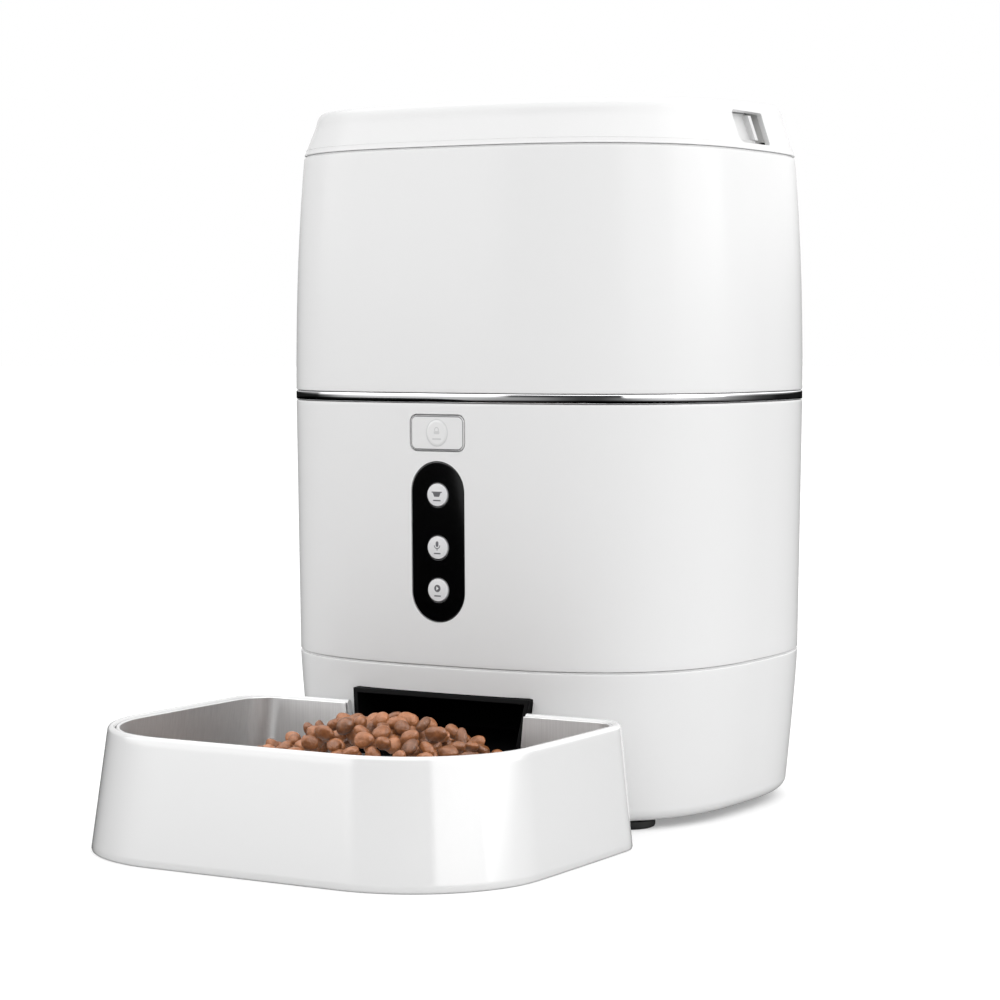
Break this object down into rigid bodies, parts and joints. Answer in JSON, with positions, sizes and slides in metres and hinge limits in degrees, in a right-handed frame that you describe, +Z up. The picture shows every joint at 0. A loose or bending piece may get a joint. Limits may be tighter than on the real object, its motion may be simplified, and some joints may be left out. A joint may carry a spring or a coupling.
{
  "type": "automatic pet feeder",
  "caption": "Automatic pet feeder: squared-off round tower with food tank and portion wheel, spout over a docked steel-lined bowl, front key panel, lift-off locked lid.",
  "frame": {"origin": "on the floor, under the middle of the feeder's box (tower and docked bowl together)", "axes": "+Z up, -Y is the front where the bowl and the keys are, +X is the feeder's right seen from the front"},
  "size_m": [0.2, 0.3138, 0.2897],
  "materials": {
    "white_gloss_plastic": "high gloss white ABS",
    "white_satin_plastic": "satin white plastic",
    "grey_plastic": "fine grain",
    "black_gloss": "polished black acrylic",
    "black_plastic": "satin black",
    "chrome_band": "bright plated",
    "bowl_steel": "polished stainless steel",
    "hardware_steel": "bright zinc plated",
    "silver_keys": "silver-white paint",
    "lock_grey": "light grey plastic",
    "wheel_grey": "light grey plastic",
    "foot_rubber": "matte black rubber",
    "grey_rubber": "soft grey silicone",
    "gear_plastic": "natural acetal",
    "brass": "turned",
    "circuit_board": "green solder mask",
    "cell_jacket": "printed sleeve",
    "lamp": "diffused lens"
  },
  "bodies": {
    "base": {"base_housing": "white_gloss_plastic", "base_plate": "grey_plastic", "base_screw_1": "hardware_steel", "base_screw_2": "hardware_steel", "base_screw_3": "hardware_steel", "base_screw_4": "hardware_steel", "foot_front_right": "foot_rubber", "foot_front_left": "foot_rubber", "foot_rear_left": "foot_rubber", "foot_rear_right": "foot_rubber", "battery_box": "white_satin_plastic", "battery_door": "grey_plastic", "battery_door_screw": "hardware_steel", "battery_1": "cell_jacket", "battery_2": "cell_jacket", "battery_3": "cell_jacket", "battery_contact_front": "hardware_steel", "battery_contact_rear": "hardware_steel", "dc_inlet": "black_plastic", "mid_housing": "white_gloss_plastic", "trim_band": "chrome_band", "deck": "white_satin_plastic", "motor_bracket": "hardware_steel", "motor": "hardware_steel", "idler_pin": "hardware_steel", "shaft_bush": "brass", "chute": "black_plastic", "dispenser_pan": "white_satin_plastic", "portion_cover": "white_satin_plastic", "control_panel": "black_gloss", "control_board": "circuit_board", "feed_switch": "black_plastic", "record_switch": "black_plastic", "play_switch": "black_plastic", "release_switch": "black_plastic", "status_led": "lamp", "microphone": "hardware_steel", "speaker": "black_plastic", "main_board": "circuit_board"},
    "tank": {"upper_housing": "white_gloss_plastic", "food_hopper": "white_satin_plastic"},
    "lid": {"lid_shell": "white_gloss_plastic", "lid_liner": "white_satin_plastic", "lid_seal": "grey_rubber"},
    "lid_lock_right": {"lid_lock_right": "lock_grey"},
    "lid_lock_left": {"lid_lock_left": "lock_grey"},
    "desiccant": {"desiccant_canister": "white_satin_plastic"},
    "bowl": {"bowl": "white_gloss_plastic", "bowl_liner": "bowl_steel"},
    "feed_button": {"feed_button": "silver_keys"},
    "record_button": {"record_button": "silver_keys"},
    "play_button": {"play_button": "silver_keys"},
    "release_button": {"release_button": "white_gloss_plastic"},
    "rotor": {"rotor": "wheel_grey", "rotor_shaft": "hardware_steel", "output_gear": "gear_plastic", "agitator": "grey_rubber"},
    "idler": {"idler_gear": "gear_plastic"},
    "pinion": {"motor_pinion": "brass"}
  },
  "joints": [
    {"name": "tank_lift", "type": "slide", "parent": "base", "child": "tank", "axis": [0, 0, 1], "range_m": [0, 0.12]},
    {"name": "lid_lift", "type": "slide", "parent": "tank", "child": "lid", "axis": [0, 0, 1], "range_m": [0, 0.06]},
    {"name": "lock_right", "type": "slide", "parent": "lid", "child": "lid_lock_right", "axis": [0, 1, 0], "range_m": [0, 0.007]},
    {"name": "lock_left", "type": "slide", "parent": "lid", "child": "lid_lock_left", "axis": [0, 1, 0], "range_m": [0, 0.007]},
    {"name": "desiccant_twist", "type": "hinge", "parent": "lid", "child": "desiccant", "pos_m": [0, 0.06682, 0.262], "axis": [0, 0, 1], "range_deg": [0, 40]},
    {"name": "bowl_slide", "type": "slide", "parent": "base", "child": "bowl", "axis": [0, -1, 0], "range_m": [0, 0.15]},
    {"name": "feed_press", "type": "slide", "parent": "base", "child": "feed_button", "axis": [0, 1, 0], "range_m": [0, 0.0008], "stiffness_N_per_m": 250},
    {"name": "record_press", "type": "slide", "parent": "base", "child": "record_button", "axis": [0, 1, 0], "range_m": [0, 0.0008], "stiffness_N_per_m": 250},
    {"name": "play_press", "type": "slide", "parent": "base", "child": "play_button", "axis": [0, 1, 0], "range_m": [0, 0.0008], "stiffness_N_per_m": 250},
    {"name": "release_press", "type": "slide", "parent": "base", "child": "release_button", "axis": [0, 1, 0], "range_m": [0, 0.0008], "stiffness_N_per_m": 300},
    {"name": "rotor_spin", "type": "hinge", "parent": "base", "child": "rotor", "pos_m": [0, 0.06682, 0.11], "axis": [0, 0, 1], "continuous": true},
    {"name": "idler_spin", "type": "hinge", "parent": "base", "child": "idler", "pos_m": [0, 0.09232, 0.085], "axis": [0, 0, 1], "continuous": true},
    {"name": "pinion_spin", "type": "hinge", "parent": "base", "child": "pinion", "pos_m": [0, 0.11482, 0.082], "axis": [0, 0, 1], "continuous": true}
  ],
  "couplings": [
    {"joint": "idler_spin", "follows": "rotor_spin", "ratio": -2.4},
    {"joint": "pinion_spin", "follows": "rotor_spin", "ratio": 4.8}
  ]
}
